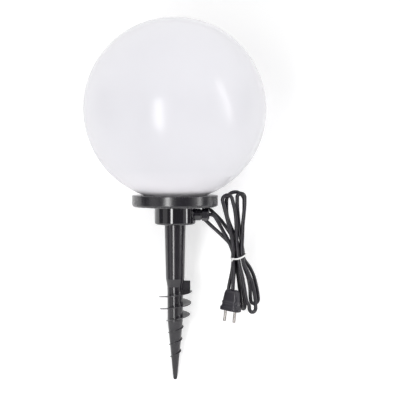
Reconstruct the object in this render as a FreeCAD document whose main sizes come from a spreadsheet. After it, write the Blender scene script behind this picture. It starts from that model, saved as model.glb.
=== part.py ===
"""Garden globe light: an opal globe on a black base with a ground spike, and its mains lead in a hank.

Millimetres. Z points up along the light's axis, and zero is the tip of the ground spike. X points
to the cable gland, and Y away from the front.
"""

import math
import os
import re

import FreeCAD
import Part
import Sketcher

Vector = FreeCAD.Vector
Rotation = FreeCAD.Rotation
Placement = FreeCAD.Placement

doc = FreeCAD.newDocument("GardenGlobeLight")

SIZES = [
    # Ground spike, from the tip upwards.
    ("tip_radius", 2.9),
    ("tip_bevel", 0.6),
    ("cone_length", 101),
    ("core_foot_radius", 12.7),
    ("core_length", 56.8),
    ("core_top_radius", 13.1),
    ("shoulder_length", 13.2),
    ("tube_foot_radius", 15.4),
    ("tube_length", 90),
    ("tube_top_radius", 17.5),
    ("tube_wall", 3.9),
    ("tube_floor", 6),
    # Screw flights and the fin on the spike.
    ("flight_pitch", 20),
    ("flight_turns", 3),
    ("flight_root_radius", 9),
    ("flight_thickness", 2),
    ("flight_drop", 7.2),
    ("flight_top_radius", 28.5),
    ("flight_foot_radius", 24.7),
    ("flight_length", 40),
    ("fade_length", 9),
    ("ridge_height", 2.2),
    ("ridge_start", 36),
    ("ridge_root", 2),
    ("ridge_thickness", 2.4),
    ("fin_radius", 25),
    ("fin_root", 5),
    ("fin_height", 18),
    ("fin_thickness", 2.6),
    # Base housing.
    ("housing_radius", 34),
    ("housing_height", 28.2),
    ("housing_wall", 2.5),
    ("housing_floor", 3),
    ("housing_round", 3.5),
    ("plug_in_length", 30),
    ("plug_in_wall", 2.6),
    ("plug_in_clearance", 0.08),
    ("plug_in_room", 1),
    ("pillar_radius", 3.6),
    ("pillar_circle", 27),
    ("gasket_thickness", 0.8),
    ("gasket_width", 1.5),
    ("gasket_inset", 0.9),
    # Collar ring.
    ("collar_radius", 71),
    ("collar_height", 19),
    ("collar_floor", 3),
    ("collar_wall", 3.5),
    ("collar_lip", 3.5),
    ("collar_foot_round", 4.5),
    ("collar_rim_round", 1.0),
    ("wire_hole_radius", 10.5),
    ("neck_clearance", 0.6),
    # Globe and its bayonet.
    ("globe_radius", 150),
    ("globe_wall", 2.5),
    ("neck_radius", 51),
    ("lug_count", 3),
    ("lug_reach", 4.2),
    ("lug_angle", 20),
    ("lug_height", 4.2),
    ("lug_gap", 0.3),
    ("bayonet_turn", 30),
    ("slot_ease", 3),
    ("stop_angle", 3),
    ("stop_ease", 0.6),
    ("stop_inset", 0.6),
    ("seal_width", 3.6),
    ("seal_height", 3.7),
    ("seal_round", 0.8),
    # Screws.
    ("base_screw_radius", 1.5),
    ("base_screw_length", 12),
    ("base_head_radius", 2.8),
    ("screw_head_height", 2),
    ("screw_ease", 0.1),
    ("pilot_room", 1),
    ("screw_end_gap", 0.3),
    ("driver_slot", 0.8),
    # Cable gland on the housing.
    ("gland_level", 16),
    ("boss_radius", 9.9),
    ("boss_reach", 42),
    ("boss_seat", 27),
    ("gland_thread_radius", 6),
    ("gland_bore_radius", 3.5),
    ("gland_flange_radius", 8.6),
    ("gland_flange_length", 2),
    ("gland_neck_radius", 7.6),
    ("gland_neck_length", 9),
    ("insert_radius", 5.4),
    ("insert_length", 7.5),
    ("nut_corner_radius", 10.5),
    ("nut_length", 12.4),
    ("nut_end_wall", 3),
    ("nut_bevel", 0.6),
    ("nut_crown_length", 4.5),
    ("nut_bend_length", 1.6),
    ("nut_bend_inset", 1.4),
    ("nut_face_inset", 3.4),
    ("nut_gap", 0.2),
    ("locknut_corner_radius", 9),
    ("locknut_length", 3.6),
    ("ring_section_radius", 0.7),
    ("ring_ease", 0.2),
    ("gland_ease", 0.1),
    ("gland_thread_end", 1),
    ("insert_room", 0.2),
    # Lampholder.
    ("holder_foot_radius", 24),
    ("holder_foot_height", 4),
    ("holder_radius", 19),
    ("holder_height", 34),
    ("holder_taper", 1),
    ("holder_round", 0.9),
    ("holder_mouth_step", 1.6),
    ("holder_mouth_depth", 4),
    ("holder_well_floor", 12),
    ("holder_shell_radius", 13.9),
    ("holder_shell_wall", 0.4),
    ("holder_shell_ease", 0.05),
    ("holder_shell_flange", 1.4),
    ("holder_screw_circle", 21.3),
    ("holder_screw_radius", 1.3),
    ("holder_head_radius", 2.2),
    ("terminal_level", 7.5),
    ("terminal_screw_radius", 1.4),
    ("terminal_head_radius", 2.3),
    ("terminal_head_height", 1.6),
    ("terminal_head_ease", 0.3),
    ("terminal_recess", 3),
    ("contact_radius", 2.2),
    ("contact_height", 1.2),
    ("contact_strip_length", 20),
    ("contact_strip_width", 5),
    ("contact_strip_thickness", 0.5),
    # Bulb.
    ("cap_crest_radius", 13.2),
    ("cap_root_radius", 12.3),
    ("cap_thread_pitch", 3.6),
    ("cap_threads", 5),
    ("cap_wall", 0.5),
    ("insulator_height", 3),
    ("insulator_rim", 1),
    ("button_radius", 4.6),
    ("button_height", 0.5),
    ("bulb_gap", 0.4),
    ("bulb_shell_height", 30),
    ("bulb_radius", 30),
    ("bulb_mouth_radius", 27),
    ("bulb_shell_wall", 1.4),
    ("bulb_neck_inset", 1.5),
    ("bulb_foot_step", 0.6),
    ("bulb_foot_flare", 1.6),
    ("bulb_foot_height", 2),
    ("bulb_waist_flare", 5),
    ("board_ledge", 1.6),
    ("board_ease", 0.8),
    ("board_drop", 1.4),
    ("board_thickness", 1.5),
    ("led_circle", 15),
    ("led_count", 8),
    ("led_side", 3),
    ("led_thickness", 0.8),
    ("diffuser_wall", 1.2),
    ("diffuser_rise", 13),
    ("diffuser_gap", 0.3),
    # Lead, hank and plug.
    ("cord_radius", 3.1),
    ("core_radius", 1.15),
    ("cord_ease", 0.05),
    ("core_ease", 0.2),
    ("core_offset", 1.45),
    ("core_x", 4),
    ("core_y", 7.6),
    ("core_end", 1.9),
    ("core_end_room", 0.6),
    ("clamp_x", 14),
    ("clamp_length", 6),
    ("clamp_width", 20),
    ("sheath_past_clamp", 3),
    ("clamp_screw_reach", 6.6),
    ("clamp_bridge", 2.4),
    ("clamp_screw_radius", 1.3),
    ("clamp_screw_length", 11),
    ("clamp_head_radius", 2.2),
    ("clamp_pilot_room", 3),
    ("saddle_gap", 0.3),
    ("tie_level", 206),
    ("column_step", 7.6),
    ("row_step", 7.1),
    ("tie_band", 3),
    ("tie_thickness", 1),
    ("tie_gap", 0.7),
    ("tie_tilt", 12),
    ("pin_radius", 2.4),
    ("pin_length", 19),
    ("pin_spacing", 19),
    ("pin_root", 9),
    ("pin_root_radius", 1.9),
    ("pin_tip_round", 1.6),
    ("pin_ease", 0.04),
    ("plug_tilt", 6),
    ("plug_turn", 37),
    ("plug_neck_width", 22),
    ("plug_neck_depth", 13),
    ("plug_shoulder_drop", 2),
    ("plug_shoulder_width", 25),
    ("plug_shoulder_depth", 15),
    ("plug_grip_drop", 10),
    ("plug_grip_width", 27.5),
    ("plug_grip_depth", 16),
    ("plug_skirt_rise", 4),
    ("plug_skirt_width", 31),
    ("plug_width", 36.5),
    ("plug_depth", 17),
    ("plug_length", 35),
    ("plug_flange", 6),
    ("plug_flange_step", 1),
]

sheet = doc.addObject("Spreadsheet::Sheet", "Sizes")
for row, (alias, value) in enumerate(SIZES, start=1):
    sheet.set("A%d" % row, alias)
    sheet.set("B%d" % row, str(value))
    sheet.setAlias("B%d" % row, alias)
doc.recompute()

# Levels and places that several pieces share, each worked out from the sizes above.
CORE_TOP = "(cone_length + core_length)"
TUBE_FOOT = "(cone_length + core_length + shoulder_length)"
SEAT = "(cone_length + core_length + shoulder_length + tube_length)"
COLLAR = f"({SEAT} + housing_height + gasket_thickness)"
COLLAR_TOP = f"({COLLAR} + collar_floor)"
LIP = f"({COLLAR} + collar_height - collar_lip)"
GLOBE_CENTRE = f"({COLLAR} + collar_height + sqrt(globe_radius ^ 2 - neck_radius ^ 2))"
NECK_FOOT = f"({COLLAR_TOP} + seal_height + lug_gap)"
GLAND = f"({SEAT} + gland_level)"
SHEATH_END = "(clamp_x - sheath_past_clamp)"
FLIGHT_TOP = f"({CORE_TOP} - flight_drop)"
NUT_START = "(boss_reach + gland_flange_length + nut_gap)"
CORD_EXIT = "(boss_reach + gland_flange_length + nut_gap + nut_length)"
HOLDER_WELL = f"({COLLAR_TOP} + holder_well_floor)"
BULB_FOOT = f"({HOLDER_WELL} + contact_height + bulb_gap)"
CAP_FOOT = f"({BULB_FOOT} + button_height + insulator_height)"
CAP_TOP = f"({CAP_FOOT} + cap_threads * cap_thread_pitch)"
BULB_MOUTH = f"({CAP_TOP} + bulb_shell_height)"

BASE_SCREW_ANGLES = (60, 180, 300)
SIDES = (("front", "-1"), ("back", "1"))

PIECES = {}


def expression(formula):
    """Name the sheet before each of its sizes in a formula."""
    return re.sub(r"\b(?!atan\b|sqrt\b)[a-z]\w+", lambda word: "Sizes." + word[0], str(formula))


def size(formula):
    """Work out a formula of the sheet's sizes as a number."""
    return float(sheet.evalExpression(expression(formula)))


def bind(item, **formulas):
    """Tie an object's own sizes to formulas of the sheet's sizes."""
    for name, formula in formulas.items():
        item.setExpression(name, expression(formula))
    return item


def place(item, x=0, y=0, z=0):
    """Tie an object's position to formulas of the sheet's sizes."""
    for name, formula in (("x", x), ("y", y), ("z", z)):
        item.setExpression("Placement.Base." + name, expression(formula))
    return item


def around(circle, angle):
    """The X and Y of a place on a circle round the axis, as formulas."""
    turn = math.radians(angle)
    return f"{circle} * {math.cos(turn):.6f}", f"{circle} * {math.sin(turn):.6f}"


ALONG = {
    "X": Rotation(Vector(0, 1, 0), 90),
    "Y": Rotation(Vector(1, 0, 0), -90),
    "-Y": Rotation(Vector(1, 0, 0), 90),
    "Z": Rotation(),
}


def cylinder(name, radius, height, x=0, y=0, z=0, along="Z"):
    item = doc.addObject("Part::Cylinder", name)
    item.Placement.Rotation = ALONG[along]
    bind(item, Radius=radius, Height=height)
    return place(item, x, y, z)


def sector(name, radius, height, z, start, angle):
    """A slice of a disc: from one angle round the axis, as wide as another."""
    item = doc.addObject("Part::Cylinder", name)
    item.Placement = Placement(Vector(), Rotation(Vector(0, 0, 1), 1))
    bind(item, Radius=radius, Height=height, Angle=angle)
    item.setExpression("Placement.Rotation.Angle", expression(start))
    return place(item, 0, 0, z)


def box(name, length, width, height, x, y, z):
    """A box whose place is its lowest corner."""
    item = doc.addObject("Part::Box", name)
    bind(item, Length=length, Width=width, Height=height)
    return place(item, x, y, z)


def sphere(name, radius, z):
    item = doc.addObject("Part::Sphere", name)
    bind(item, Radius=radius)
    return place(item, 0, 0, z)


def hexagon(name, corner_radius, height, x, z):
    """A hexagonal bar along X."""
    item = doc.addObject("Part::Prism", name)
    item.Polygon = 6
    item.Placement.Rotation = ALONG["X"]
    bind(item, Circumradius=corner_radius, Height=height)
    return place(item, x, 0, z)


def fuse(name, items):
    item = doc.addObject("Part::MultiFuse", name)
    item.Shapes = items
    return item


def cut(name, base, *tools):
    """Take one or more tools out of a base."""
    item = doc.addObject("Part::Cut", name)
    item.Base = base
    item.Tool = tools[0] if len(tools) == 1 else fuse(name + "_tools", list(tools))
    return item


def common(name, first, second):
    item = doc.addObject("Part::Common", name)
    item.Base = first
    item.Tool = second
    return item


def group(name, items):
    """Separate solids that share a node."""
    item = doc.addObject("Part::Compound", name)
    item.Links = items
    return item


def piece(label, item):
    """Record a finished piece under the name of its node."""
    item.Label = label
    PIECES[label] = item
    return item


def draw_outline(sketch, points):
    """Close a sketch of lines through points, each coordinate tied to a formula."""
    corners = [Vector(size(x), size(z), 0) for x, z in points]
    following = corners[1:] + corners[:1]
    sketch.addGeometry([Part.LineSegment(a, b) for a, b in zip(corners, following)], False)
    count = len(points)
    for index, (x, z) in enumerate(points):
        sketch.addConstraint(Sketcher.Constraint("Coincident", index, 2, (index + 1) % count, 1))
        for axis, kind, formula in ((-2, "DistanceX", x), (-1, "DistanceY", z)):
            if str(formula) == "0":
                sketch.addConstraint(Sketcher.Constraint("PointOnObject", index, 1, axis))
                continue
            number = sketch.addConstraint(Sketcher.Constraint(kind, -1, 1, index, 1, size(formula)))
            sketch.setExpression("Constraints[%d]" % number, expression(formula))
    return sketch


def turned(name, points):
    """A body turned round Z from a closed outline of (radius, level) formulas."""
    body = doc.addObject("PartDesign::Body", name)
    sketch = body.newObject("Sketcher::SketchObject", name + "_outline")
    plane = [item for item in body.Origin.OriginFeatures if item.Role == "XZ_Plane"][0]
    sketch.AttachmentSupport = (plane, [""])
    sketch.MapMode = "FlatFace"
    draw_outline(sketch, points)
    turn = body.newObject("PartDesign::Revolution", name + "_turn")
    turn.Profile = sketch
    turn.ReferenceAxis = (sketch, ["V_Axis"])
    turn.Angle = 360
    body.Tip = turn
    return body


def round_rings(body, name, radius, rings):
    """Round the circular edges of a turned body that lie at the given radii and levels."""
    doc.recompute()
    base = body.Tip
    wanted = [(size(ring_radius), size(level)) for ring_radius, level in rings]
    edges = []
    for number, edge in enumerate(base.Shape.Edges, start=1):
        if not hasattr(edge.Curve, "Radius") or not hasattr(edge.Curve, "Center"):
            continue
        for ring_radius, level in wanted:
            if abs(edge.Curve.Radius - ring_radius) < 0.01 and abs(edge.Curve.Center.z - level) < 0.01:
                edges.append("Edge%d" % number)
    rounding = body.newObject("PartDesign::Fillet", name)
    rounding.Base = (base, edges)
    bind(rounding, Radius=radius)
    body.Tip = rounding
    return body


def laid_along_x(body, x, z):
    """Lay a turned body's axis along X, its own zero at the given place."""
    body.Placement.Rotation = ALONG["X"]
    return place(body, x, 0, z)


def shaped(label, solid):
    """A piece whose shape has no parametric feature of its own."""
    item = doc.addObject("Part::Feature", label)
    item.Shape = solid
    item.Placement = Placement()
    return piece(label, item)


# Ground spike: one moulding of a tapering tube, a shoulder, a fin, screw flights and a blunt tip.


def swept_section(name, helix, corners):
    """A section of (radius, level) formulas carried along a helix."""
    section = doc.addObject("Sketcher::SketchObject", name + "_section")
    section.Placement = Placement(Vector(), Rotation(Vector(1, 0, 0), 90))
    draw_outline(section, corners)
    sweep = doc.addObject("Part::Sweep", name + "_sweep")
    sweep.Sections = [section]
    sweep.Spine = (helix, [])
    sweep.Solid = True
    sweep.Frenet = True
    return sweep


def make_flights():
    """Large right-hand flights that narrow downwards and then fade into the ridge."""
    foot = f"({FLIGHT_TOP} - flight_turns * flight_pitch)"
    helix = doc.addObject("Part::Helix", "flight_line")
    bind(helix, Pitch="flight_pitch", Height="flight_turns * flight_pitch", Radius="flight_top_radius")
    place(helix, 0, 0, foot)
    blade = swept_section("flight", helix, [
        ("flight_root_radius", f"{foot} - flight_thickness / 2"),
        ("flight_top_radius + 1", f"{foot} - flight_thickness / 3"),
        ("flight_top_radius + 1", f"{foot} + flight_thickness / 3"),
        ("flight_root_radius", f"{foot} + flight_thickness / 2"),
    ])
    fade_foot = f"({FLIGHT_TOP} - flight_length - fade_length)"
    envelope = turned("flight_envelope", [
        ("0", f"{fade_foot} - ridge_height"),
        ("core_foot_radius + ridge_height", f"{fade_foot} - ridge_height"),
        ("core_foot_radius + ridge_height", fade_foot),
        ("flight_foot_radius", f"{FLIGHT_TOP} - flight_length"),
        ("flight_top_radius", f"{FLIGHT_TOP} + flight_thickness"),
        ("0", f"{FLIGHT_TOP} + flight_thickness"),
    ])
    return common("flights", blade, envelope)


def make_ridge():
    """A small ridge that goes on from the flights, down the cone, and dies out above the tip."""
    slope = "((core_foot_radius - tip_radius) / cone_length)"
    height = f"({FLIGHT_TOP} - flight_length - fade_length - ridge_start)"
    start_radius = f"(tip_radius + {slope} * ridge_start)"
    helix = doc.addObject("Part::Helix", "ridge_line")
    bind(helix, Pitch="flight_pitch", Height=height, Radius=start_radius, Angle=f"atan({slope})")
    ridge = swept_section("ridge", helix, [
        (f"{start_radius} - ridge_root", "-ridge_thickness / 2"),
        (f"{start_radius} + ridge_height", "-ridge_thickness / 6"),
        (f"{start_radius} + ridge_height", "ridge_thickness / 6"),
        (f"{start_radius} - ridge_root", "ridge_thickness / 2"),
    ])
    ridge.Placement = Placement(Vector(), Rotation(Vector(0, 0, 1), 1))
    ridge.setExpression(
        "Placement.Rotation.Angle", expression(f"(ridge_start - {FLIGHT_TOP}) / flight_pitch * 360"))
    place(ridge, 0, 0, "ridge_start")
    return ridge


def make_ground_spike():
    bore = "tube_top_radius - tube_wall"
    core = turned("spike_core", [
        ("0", "0"),
        ("tip_radius - tip_bevel", "0"),
        ("tip_radius", "tip_bevel"),
        ("core_foot_radius", "cone_length"),
        ("core_top_radius", CORE_TOP),
        ("tube_foot_radius", TUBE_FOOT),
        ("tube_top_radius", SEAT),
        (bore, SEAT),
        (bore, f"{SEAT} - plug_in_length - plug_in_room"),
        ("tube_foot_radius - tube_wall", f"{TUBE_FOOT} + tube_floor"),
        ("0", f"{TUBE_FOOT} + tube_floor"),
    ])
    flights = make_flights()
    ridge = make_ridge()
    fin = box("spike_fin", "fin_radius - fin_root", "fin_thickness", "fin_height",
              "fin_root", "-fin_thickness / 2", f"{FLIGHT_TOP} - flight_thickness / 2")
    fin_below_tube = cut("fin_trimmed", fin, cylinder(
        "fin_room", "tube_foot_radius - tube_wall - 1", "tube_length", z=f"{TUBE_FOOT} + tube_floor"))
    piece("ground_spike", fuse("spike_moulding", [core, flights, ridge, fin_below_tube]))


# Base housing: a black cup that plugs into the spike's tube and carries the gland on its right.


def make_base_housing():
    stem = "(tube_top_radius - tube_wall - plug_in_clearance)"
    cup = turned("housing_cup", [
        (f"{stem} - plug_in_wall", f"{SEAT} - plug_in_length"),
        (f"{stem}", f"{SEAT} - plug_in_length"),
        (f"{stem}", SEAT),
        ("housing_radius", SEAT),
        ("housing_radius", f"{SEAT} + housing_height"),
        ("housing_radius - housing_wall", f"{SEAT} + housing_height"),
        ("housing_radius - housing_wall", f"{SEAT} + housing_floor"),
        ("0", f"{SEAT} + housing_floor"),
        ("0", f"{SEAT}"),
        (f"{stem} - plug_in_wall", f"{SEAT}"),
    ])
    round_rings(cup, "housing_foot_round", "housing_round", [("housing_radius", SEAT)])
    boss = cylinder("gland_boss", "boss_radius", "boss_reach - boss_seat", x="boss_seat", z=GLAND, along="X")
    pillars = []
    pilots = []
    for number, angle in enumerate(BASE_SCREW_ANGLES):
        x, y = around("pillar_circle", angle)
        foot = f"{SEAT} + housing_floor / 2"
        pillars.append(cylinder(f"pillar_{number}", "pillar_radius",
                                f"{COLLAR} - ({foot})", x, y, foot))
        pilots.append(cylinder(f"pilot_{number}", "base_screw_radius + screw_ease",
                               "base_screw_length + pilot_room", x, y,
                               f"{COLLAR_TOP} - base_screw_length - pilot_room - screw_ease"))
    saddle = box("clamp_saddle", "clamp_length", "clamp_width",
                 "gland_level - housing_floor / 2 - saddle_gap",
                 "clamp_x", "-clamp_width / 2", f"{SEAT} + housing_floor / 2")
    saddle_groove = cylinder("saddle_groove", "cord_radius + 2 * cord_ease", "clamp_length + 2",
                             x="clamp_x - 1", z=GLAND, along="X")
    pilot_foot = "(clamp_screw_length - cord_radius - clamp_bridge + clamp_pilot_room)"
    saddle_pilots = [
        cylinder(f"saddle_pilot_{side}", "clamp_screw_radius + screw_ease", pilot_foot,
                 "clamp_x + clamp_length / 2", f"{sign} * clamp_screw_reach", f"{GLAND} - {pilot_foot}")
        for side, sign in SIDES
    ]
    walls = fuse("housing_walls", [cup, boss, *pillars, saddle])
    bore = cylinder("gland_bore", "gland_thread_radius + gland_ease", "boss_reach",
                    x="boss_seat - 2", z=GLAND, along="X")
    ring_room = "(2 * ring_section_radius + ring_ease)"
    ring_seat = cylinder("gland_ring_seat", "gland_flange_radius - ring_ease", ring_room,
                         x=f"boss_reach - {ring_room}", z=GLAND, along="X")
    holes = [bore, ring_seat, saddle_groove, *pilots, *saddle_pilots]
    piece("base_housing", cut("housing_bored", walls, *holes))


def make_base_gasket():
    outer = "housing_radius - gasket_inset"
    ring = cut(
        "gasket_cut",
        cylinder("gasket_disc", outer, "gasket_thickness", z=f"{SEAT} + housing_height"),
        cylinder("gasket_hole", f"{outer} - gasket_width", "3", z=f"{SEAT} + housing_height - 1"),
    )
    piece("base_gasket", ring)


# Collar ring: a black dish with an inward lip that holds the globe's bayonet lugs.


def make_collar_ring():
    bore = "(neck_radius + neck_clearance)"
    inner = "(collar_radius - collar_wall)"
    top = f"({COLLAR} + collar_height)"
    dish = turned("collar_dish", [
        ("wire_hole_radius", COLLAR),
        ("collar_radius", COLLAR),
        ("collar_radius", top),
        (bore, top),
        (bore, LIP),
        (inner, LIP),
        (inner, COLLAR_TOP),
        ("wire_hole_radius", COLLAR_TOP),
    ])
    round_rings(dish, "collar_foot_rounding", "collar_foot_round", [("collar_radius", COLLAR)])
    round_rings(dish, "collar_rim_rounding", "collar_rim_round", [("collar_radius", top), (bore, top)])
    slots = []
    stops = []
    slot_radius = "neck_radius + lug_reach + 0.5"
    for number in range(int(size("lug_count"))):
        centre = f"({number} * 360 / lug_count)"
        slots.append(sector(f"slot_{number}", slot_radius, "collar_lip + 2", f"{LIP} - 1",
                            f"{centre} + bayonet_turn - lug_angle / 2 - slot_ease",
                            "lug_angle + 2 * slot_ease"))
        for name, start in (
            ("locked", f"{centre} - lug_angle / 2 - stop_ease - stop_angle"),
            ("free", f"{centre} + bayonet_turn + lug_angle / 2 + stop_ease"),
        ):
            stops.append(sector(f"stop_{name}_{number}", f"{inner} + 0.5", f"{LIP} - {COLLAR_TOP} + 0.5",
                                f"{COLLAR_TOP} - 0.25", start, "stop_angle"))
    stop_blocks = cut("stop_blocks", fuse("stop_slices", stops),
                      cylinder("stop_room", f"{bore} + stop_inset", "collar_height + 10", z=f"{COLLAR} - 5"))
    screw_holes = [
        cylinder(f"collar_screw_hole_{number}", "base_screw_radius + screw_ease", "collar_floor + 2",
                 *around("pillar_circle", angle), f"{COLLAR} - 1")
        for number, angle in enumerate(BASE_SCREW_ANGLES)
    ]
    screw_holes += [
        cylinder(f"collar_holder_hole_{side}", "holder_screw_radius + screw_ease", "collar_floor + 2",
                 0, f"{sign} * holder_screw_circle", f"{COLLAR} - 1")
        for side, sign in SIDES
    ]
    slotted = cut("collar_slotted", dish, *slots, *screw_holes)
    piece("collar_ring", fuse("collar_whole", [slotted, stop_blocks]))


def make_globe_seal():
    seal = turned("globe_seal_ring", [
        ("neck_radius - seal_width", COLLAR_TOP),
        ("neck_radius", COLLAR_TOP),
        ("neck_radius", f"{COLLAR_TOP} + seal_height"),
        ("neck_radius - seal_width", f"{COLLAR_TOP} + seal_height"),
    ])
    top = f"{COLLAR_TOP} + seal_height"
    round_rings(seal, "seal_rounding", "seal_round",
                [("neck_radius", top), ("neck_radius - seal_width", top)])
    piece("globe_seal", seal)


# Globe: an opal shell with a neck and three bayonet lugs.


def make_globe():
    outside = fuse("globe_outside", [
        sphere("globe_ball", "globe_radius", GLOBE_CENTRE),
        cylinder("globe_neck", "neck_radius", f"{GLOBE_CENTRE} - {NECK_FOOT}", z=NECK_FOOT),
    ])
    inside = fuse("globe_inside", [
        sphere("globe_hollow", "globe_radius - globe_wall", GLOBE_CENTRE),
        cylinder("neck_hollow", "neck_radius - globe_wall", f"{GLOBE_CENTRE} - {NECK_FOOT} + 1",
                 z=f"{NECK_FOOT} - 1"),
    ])
    shell = cut("globe_shell", outside, inside)
    slices = [
        sector(f"lug_{number}", "neck_radius + lug_reach", "lug_height", f"{LIP} - lug_gap - lug_height",
               f"{number} * 360 / lug_count - lug_angle / 2", "lug_angle")
        for number in range(int(size("lug_count")))
    ]
    lugs = cut("globe_lugs", fuse("lug_slices", slices),
               cylinder("lug_room", "neck_radius - globe_wall / 2", "collar_height + 10",
                        z=f"{NECK_FOOT} - 5"))
    piece("globe", fuse("globe_whole", [shell, lugs]))


# Screws.


def screw(name, radius, length, head_radius, x, y, top, slot_turn=0):
    """A pan head screw that points down, its head's underside at the given level."""
    shank = cylinder(name + "_shank", radius, length, x, y, f"{top} - ({length})")
    head = cylinder(name + "_head", head_radius, "screw_head_height", x, y, top)
    whole = fuse(name + "_whole", [shank, head])
    slot = box(name + "_slot", f"2 * ({head_radius}) + 1", "driver_slot", "screw_head_height",
               f"{x} - ({head_radius}) - 0.5", f"{y} - driver_slot / 2", f"{top} + screw_head_height / 2")
    return cut(name + "_slotted", whole, slot)


def make_screws():
    base = []
    for number, angle in enumerate(BASE_SCREW_ANGLES):
        x, y = around("pillar_circle", angle)
        base.append(screw(f"base_screw_{number}", "base_screw_radius", "base_screw_length",
                          "base_head_radius", x, y, COLLAR_TOP))
    piece("base_screws", group("base_screw_set", base))
    holder = [
        screw(f"holder_screw_{side}", "holder_screw_radius",
              "holder_foot_height + collar_floor - screw_end_gap", "holder_head_radius",
              "0", f"{sign} * holder_screw_circle", f"{COLLAR_TOP} + holder_foot_height")
        for side, sign in SIDES
    ]
    piece("lampholder_screws", group("holder_screw_set", holder))
    clamp = [
        screw(f"clamp_screw_{side}", "clamp_screw_radius", "clamp_screw_length", "clamp_head_radius",
              "clamp_x + clamp_length / 2", f"{sign} * clamp_screw_reach",
              f"{GLAND} + cord_radius + clamp_bridge")
        for side, sign in SIDES
    ]
    piece("clamp_screws", group("clamp_screw_set", clamp))


# Cable gland: its body through the housing's boss, a locknut inside and a hexagonal nut outside.


def make_gland():
    shoulder = "(boss_reach - boss_seat + locknut_length + gland_thread_end)"
    flange_end = f"({shoulder} + gland_flange_length)"
    mouth = f"({flange_end} + gland_neck_length)"
    insert_seat = f"({mouth} - insert_length - insert_room)"
    body = turned("gland_body_turned", [
        ("gland_bore_radius", "0"),
        ("gland_thread_radius", "0"),
        ("gland_thread_radius", shoulder),
        ("gland_flange_radius", shoulder),
        ("gland_flange_radius", flange_end),
        ("gland_neck_radius", flange_end),
        ("gland_neck_radius", mouth),
        ("insert_radius + gland_ease", mouth),
        ("insert_radius + gland_ease", insert_seat),
        ("gland_bore_radius", insert_seat),
    ])
    piece("gland_body", laid_along_x(body, "boss_seat - locknut_length - gland_thread_end", GLAND))
    o_ring = doc.addObject("Part::Torus", "gland_o_ring_torus")
    o_ring.Placement.Rotation = ALONG["X"]
    bind(o_ring, Radius1="gland_thread_radius + gland_ease + ring_section_radius + ring_ease",
         Radius2="ring_section_radius")
    place(o_ring, "boss_reach - ring_section_radius - ring_ease / 2", 0, GLAND)
    piece("gland_o_ring", o_ring)
    locknut = cut(
        "locknut_cut",
        hexagon("locknut_bar", "locknut_corner_radius", "locknut_length",
                "boss_seat - locknut_length", GLAND),
        cylinder("locknut_bore", "gland_thread_radius + gland_ease", "locknut_length + 2",
                 x="boss_seat - locknut_length - 1", z=GLAND, along="X"),
    )
    piece("gland_locknut", locknut)
    insert_end = "(boss_reach + gland_flange_length + gland_neck_length)"
    insert = cut(
        "insert_cut",
        cylinder("insert_bar", "insert_radius", "insert_length", x=f"{insert_end} - insert_length",
                 z=GLAND, along="X"),
        cylinder("insert_bore", "cord_radius + cord_ease", "insert_length + 2",
                 x=f"{insert_end} - insert_length - 1", z=GLAND, along="X"),
    )
    piece("gland_insert", insert)
    nut_bar = hexagon("gland_nut_bar", "nut_corner_radius", "nut_length", NUT_START, GLAND)
    crown = turned("gland_nut_crown", [
        ("0", "0"),
        ("nut_corner_radius - nut_bevel", "0"),
        ("nut_corner_radius", "nut_bevel"),
        ("nut_corner_radius", "nut_length - nut_crown_length"),
        ("nut_corner_radius - nut_bend_inset", "nut_length - nut_bend_length"),
        ("nut_corner_radius - nut_face_inset", "nut_length"),
        ("0", "nut_length"),
    ])
    laid_along_x(crown, NUT_START, GLAND)
    nut = cut(
        "gland_nut_cut",
        common("gland_nut_outside", nut_bar, crown),
        cylinder("nut_thread_bore", "gland_neck_radius + gland_ease", "nut_length - nut_end_wall + 1",
                 x=f"{NUT_START} - 1", z=GLAND, along="X"),
        cylinder("nut_cord_hole", "gland_bore_radius", "nut_length + 2", x=f"{NUT_START} - 1",
                 z=GLAND, along="X"),
    )
    piece("gland_nut", nut)


# Lampholder: an insulating body screwed to the collar, a metal screw shell and a sprung contact.


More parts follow.
